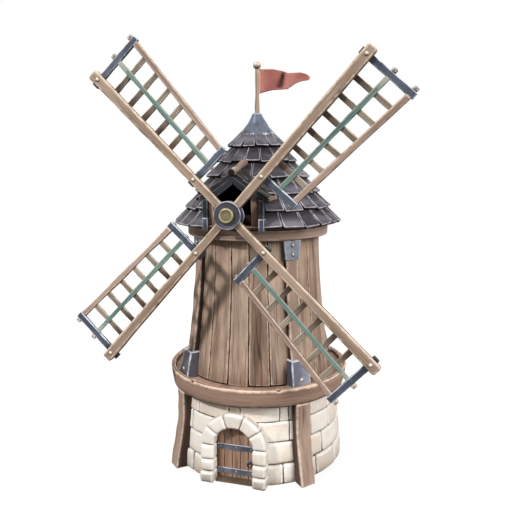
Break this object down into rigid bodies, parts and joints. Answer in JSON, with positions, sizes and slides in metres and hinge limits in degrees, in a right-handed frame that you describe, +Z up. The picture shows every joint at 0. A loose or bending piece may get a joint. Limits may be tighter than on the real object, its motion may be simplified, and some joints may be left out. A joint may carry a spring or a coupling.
{
  "type": "traditional windmill",
  "caption": "Tower windmill: round stone base with an arched door, timber gallery, flared plank tower, turning tiled cap with a dormer, and lattice sails on a tilted shaft.",
  "frame": {"origin": "centre of the base on the ground, on the tower's vertical axis", "axes": "+Z up, -Y towards the door and the sails, +X to the right of someone who faces the door"},
  "size_m": [11.5662, 7.2018, 15.3924],
  "materials": {
    "limestone": "dressed cream limestone blocks",
    "pale_limestone": "smooth pale dressed stone",
    "timber": "weathered tan timber with worn edges",
    "stained_timber": "dark blue-grey stained timber",
    "door_timber": "brown door planks",
    "green_timber": "timber painted grey-green",
    "slate_roof": "dark slate tiles on boards",
    "dark_iron": "blue-grey iron with bright edges",
    "dark_shaft": "tarred oak",
    "brass": "dull old brass",
    "painted_sheet": "grey sheet metal",
    "flag_cloth": "red woven cloth"
  },
  "bodies": {
    "tower": {"ground_floor": "limestone", "threshold": "limestone", "base_wall_left": "limestone", "base_wall_right": "limestone", "base_wall_back": "limestone", "base_wall_over_door": "limestone", "door_surround": "pale_limestone", "buttress_posts": "timber", "gallery_joists": "timber", "gallery_deck": "timber", "gallery_rim": "timber", "wall_front": "timber", "wall_right": "timber", "wall_back": "timber", "wall_left": "timber", "corner_posts": "timber", "post_shoes": "dark_iron", "post_plates": "dark_iron", "curb_ring": "timber"},
    "door": {"door_leaf": "door_timber", "door_straps": "dark_iron", "door_handle": "dark_iron"},
    "cap": {"cap_ring": "timber", "roof_front_left": "slate_roof", "roof_front_right": "slate_roof", "roof_back_left": "slate_roof", "roof_back_right": "slate_roof", "finial_cone": "painted_sheet", "flag_pole": "timber", "flag": "flag_cloth", "dormer_sill": "timber", "dormer_sides": "timber", "dormer_roof": "slate_roof", "gable_rafters": "stained_timber", "hanging_posts": "stained_timber", "ridge_log": "timber", "eave_logs": "timber", "neck_beam": "timber", "tail_beam": "timber"},
    "rotor": {"windshaft": "dark_shaft", "hub_plates": "dark_iron", "hub_boss": "brass", "whip_1": "timber", "whip_2": "timber", "whip_3": "timber", "whip_4": "timber", "lattice_1": "timber", "lattice_2": "timber", "lattice_3": "timber", "lattice_4": "timber", "mid_rails": "green_timber", "sail_irons": "dark_iron", "rail_pegs": "timber"}
  },
  "joints": [
    {"name": "door_hinge", "type": "hinge", "parent": "tower", "child": "door", "pos_m": [-0.745, -2.8095, 0], "axis": [0, 0, 1], "range_deg": [0, 90]},
    {"name": "cap_turn", "type": "hinge", "parent": "tower", "child": "cap", "pos_m": [0, 0, 8.9], "axis": [0, 0, 1], "continuous": true},
    {"name": "rotor_spin", "type": "hinge", "parent": "cap", "child": "rotor", "pos_m": [0, -3.35, 9.4805], "axis": [0, -0.9976, 0.0698], "continuous": true}
  ]
}
